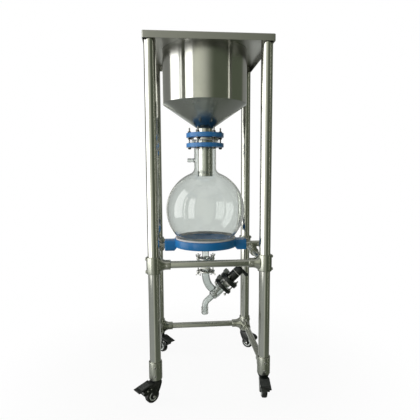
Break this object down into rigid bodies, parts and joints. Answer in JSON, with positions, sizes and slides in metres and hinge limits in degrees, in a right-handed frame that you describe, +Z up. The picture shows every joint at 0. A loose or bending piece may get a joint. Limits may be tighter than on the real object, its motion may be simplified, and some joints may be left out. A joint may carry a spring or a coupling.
{
  "type": "vacuum filtration stand with filter funnel",
  "caption": "Stainless filter funnel over a round glass receiver with a drain valve, held in a square tube frame on casters.",
  "frame": {"origin": "on the floor at the centre of the footprint of frame and casters", "axes": "+Z up, -Y towards the user's side with the open lower bay, +X to the user's right, where the valve's handle is"},
  "size_m": [0.6723, 0.6376, 1.63],
  "materials": {
    "post_steel": "polished round tube",
    "funnel_steel": "polished barrel with a satin cone",
    "plate_steel": "brushed folded sheet",
    "frame_steel": "satin tube and cast clamps",
    "fastener_steel": "plain steel fasteners",
    "blue_coating": "blue powder coat",
    "glass": "clear borosilicate glass",
    "ptfe": "white sealing plastic",
    "silicone": "translucent grey silicone",
    "valve_plastic": "black moulded plastic",
    "caster_plastic": "black moulded plastic",
    "hub_plastic": "light grey wheel core",
    "tyre_rubber": "black tread"
  },
  "bodies": {
    "frame": {"top_plate": "plate_steel", "post_front_left": "post_steel", "mid_clamp_front_left": "frame_steel", "low_clamp_front_left": "frame_steel", "post_front_right": "post_steel", "mid_clamp_front_right": "frame_steel", "low_clamp_front_right": "frame_steel", "post_rear_left": "post_steel", "mid_clamp_rear_left": "frame_steel", "low_clamp_rear_left": "frame_steel", "post_rear_right": "post_steel", "mid_clamp_rear_right": "frame_steel", "low_clamp_rear_right": "frame_steel", "mid_rail_left": "frame_steel", "mid_rail_right": "frame_steel", "mid_rail_rear": "frame_steel", "low_rail_left": "frame_steel", "low_rail_right": "frame_steel", "low_rail_rear": "frame_steel", "mid_rail_front": "frame_steel", "support_ring": "blue_coating", "ring_pad": "silicone", "ring_arm_left": "frame_steel", "cross_clamp_left": "frame_steel", "ring_arm_right": "frame_steel", "cross_clamp_right": "frame_steel", "funnel_body": "funnel_steel", "upper_flange": "blue_coating", "lower_flange": "blue_coating", "neck_gasket": "silicone", "flange_bolt_1": "fastener_steel", "flange_bolt_2": "fastener_steel", "flange_bolt_3": "fastener_steel", "flange_bolt_4": "fastener_steel", "flange_bolt_5": "fastener_steel", "flange_bolt_6": "fastener_steel", "flask": "glass", "outlet_clamp_upper": "fastener_steel", "outlet_clamp_lower": "fastener_steel", "outlet_bellows": "ptfe", "valve_body": "glass", "valve_flange_lower": "valve_plastic", "valve_flange_upper": "valve_plastic", "valve_seal": "ptfe", "valve_bonnet": "valve_plastic"},
    "filter_plate": {"filter_plate": "funnel_steel"},
    "press_ring": {"press_ring": "funnel_steel"},
    "valve_knob": {"valve_knob": "valve_plastic"},
    "valve_plunger": {"valve_plunger": "ptfe"},
    "fork_front_left": {"caster_fork_front_left": "caster_plastic"},
    "wheel_front_left": {"caster_wheel_front_left": "tyre_rubber"},
    "pedal_front_left": {"brake_pedal_front_left": "caster_plastic"},
    "fork_front_right": {"caster_fork_front_right": "caster_plastic"},
    "wheel_front_right": {"caster_wheel_front_right": "tyre_rubber"},
    "pedal_front_right": {"brake_pedal_front_right": "caster_plastic"},
    "fork_rear_left": {"caster_fork_rear_left": "caster_plastic"},
    "wheel_rear_left": {"caster_wheel_rear_left": "tyre_rubber"},
    "pedal_rear_left": {"brake_pedal_rear_left": "caster_plastic"},
    "fork_rear_right": {"caster_fork_rear_right": "caster_plastic"},
    "wheel_rear_right": {"caster_wheel_rear_right": "tyre_rubber"}
  },
  "joints": [
    {"name": "caster_swivel_front_left", "type": "hinge", "parent": "frame", "child": "fork_front_left", "pos_m": [-0.24095, -0.21555, 0.1], "axis": [0, 0, 1], "continuous": true},
    {"name": "wheel_spin_front_left", "type": "hinge", "parent": "fork_front_left", "child": "wheel_front_left", "pos_m": [-0.25852, -0.22879, 0.033], "axis": [0.6018, -0.7986, 0], "continuous": true},
    {"name": "brake_press_front_left", "type": "hinge", "parent": "fork_front_left", "child": "pedal_front_left", "pos_m": [-0.2721, -0.23903, 0.076], "axis": [0.6018, -0.7986, 0], "range_deg": [0, 12]},
    {"name": "caster_swivel_front_right", "type": "hinge", "parent": "frame", "child": "fork_front_right", "pos_m": [0.25905, -0.21555, 0.1], "axis": [0, 0, 1], "continuous": true},
    {"name": "wheel_spin_front_right", "type": "hinge", "parent": "fork_front_right", "child": "wheel_front_right", "pos_m": [0.25713, -0.23747, 0.033], "axis": [0.9962, -0.0872, 0], "continuous": true},
    {"name": "brake_press_front_right", "type": "hinge", "parent": "fork_front_right", "child": "pedal_front_right", "pos_m": [0.25565, -0.25441, 0.076], "axis": [0.9962, -0.0872, 0], "range_deg": [0, 12]},
    {"name": "caster_swivel_rear_left", "type": "hinge", "parent": "frame", "child": "fork_rear_left", "pos_m": [-0.24095, 0.28445, 0.1], "axis": [0, 0, 1], "continuous": true},
    {"name": "wheel_spin_rear_left", "type": "hinge", "parent": "fork_rear_left", "child": "wheel_rear_left", "pos_m": [-0.22623, 0.2681, 0.033], "axis": [0.7431, 0.6691, 0], "continuous": true},
    {"name": "brake_press_rear_left", "type": "hinge", "parent": "fork_rear_left", "child": "pedal_rear_left", "pos_m": [-0.21486, 0.25546, 0.076], "axis": [0.7431, 0.6691, 0], "range_deg": [0, 12]},
    {"name": "caster_swivel_rear_right", "type": "hinge", "parent": "frame", "child": "fork_rear_right", "pos_m": [0.25905, 0.28445, 0.1], "axis": [0, 0, 1], "continuous": true},
    {"name": "wheel_spin_rear_right", "type": "hinge", "parent": "fork_rear_right", "child": "wheel_rear_right", "pos_m": [0.27707, 0.27183, 0.033], "axis": [0.5736, 0.8192, 0], "continuous": true},
    {"name": "valve_knob_turn", "type": "hinge", "parent": "frame", "child": "valve_knob", "pos_m": [0.19017, 0.03445, 0.5408], "axis": [0.7254, 0, 0.6884], "range_deg": [0, 720]},
    {"name": "valve_plunger_travel", "type": "slide", "parent": "frame", "child": "valve_plunger", "axis": [0.7254, 0, 0.6884], "range_m": [0, 0.012]},
    {"name": "filter_plate_lift", "type": "slide", "parent": "frame", "child": "filter_plate", "axis": [0, 0, 1], "range_m": [0, 0.26]},
    {"name": "press_ring_lift", "type": "slide", "parent": "filter_plate", "child": "press_ring", "axis": [0, 0, 1], "range_m": [0, 0.26]}
  ],
  "couplings": [
    {"joint": "valve_plunger_travel", "follows": "valve_knob_turn", "m_per_rad": 0.00095}
  ]
}
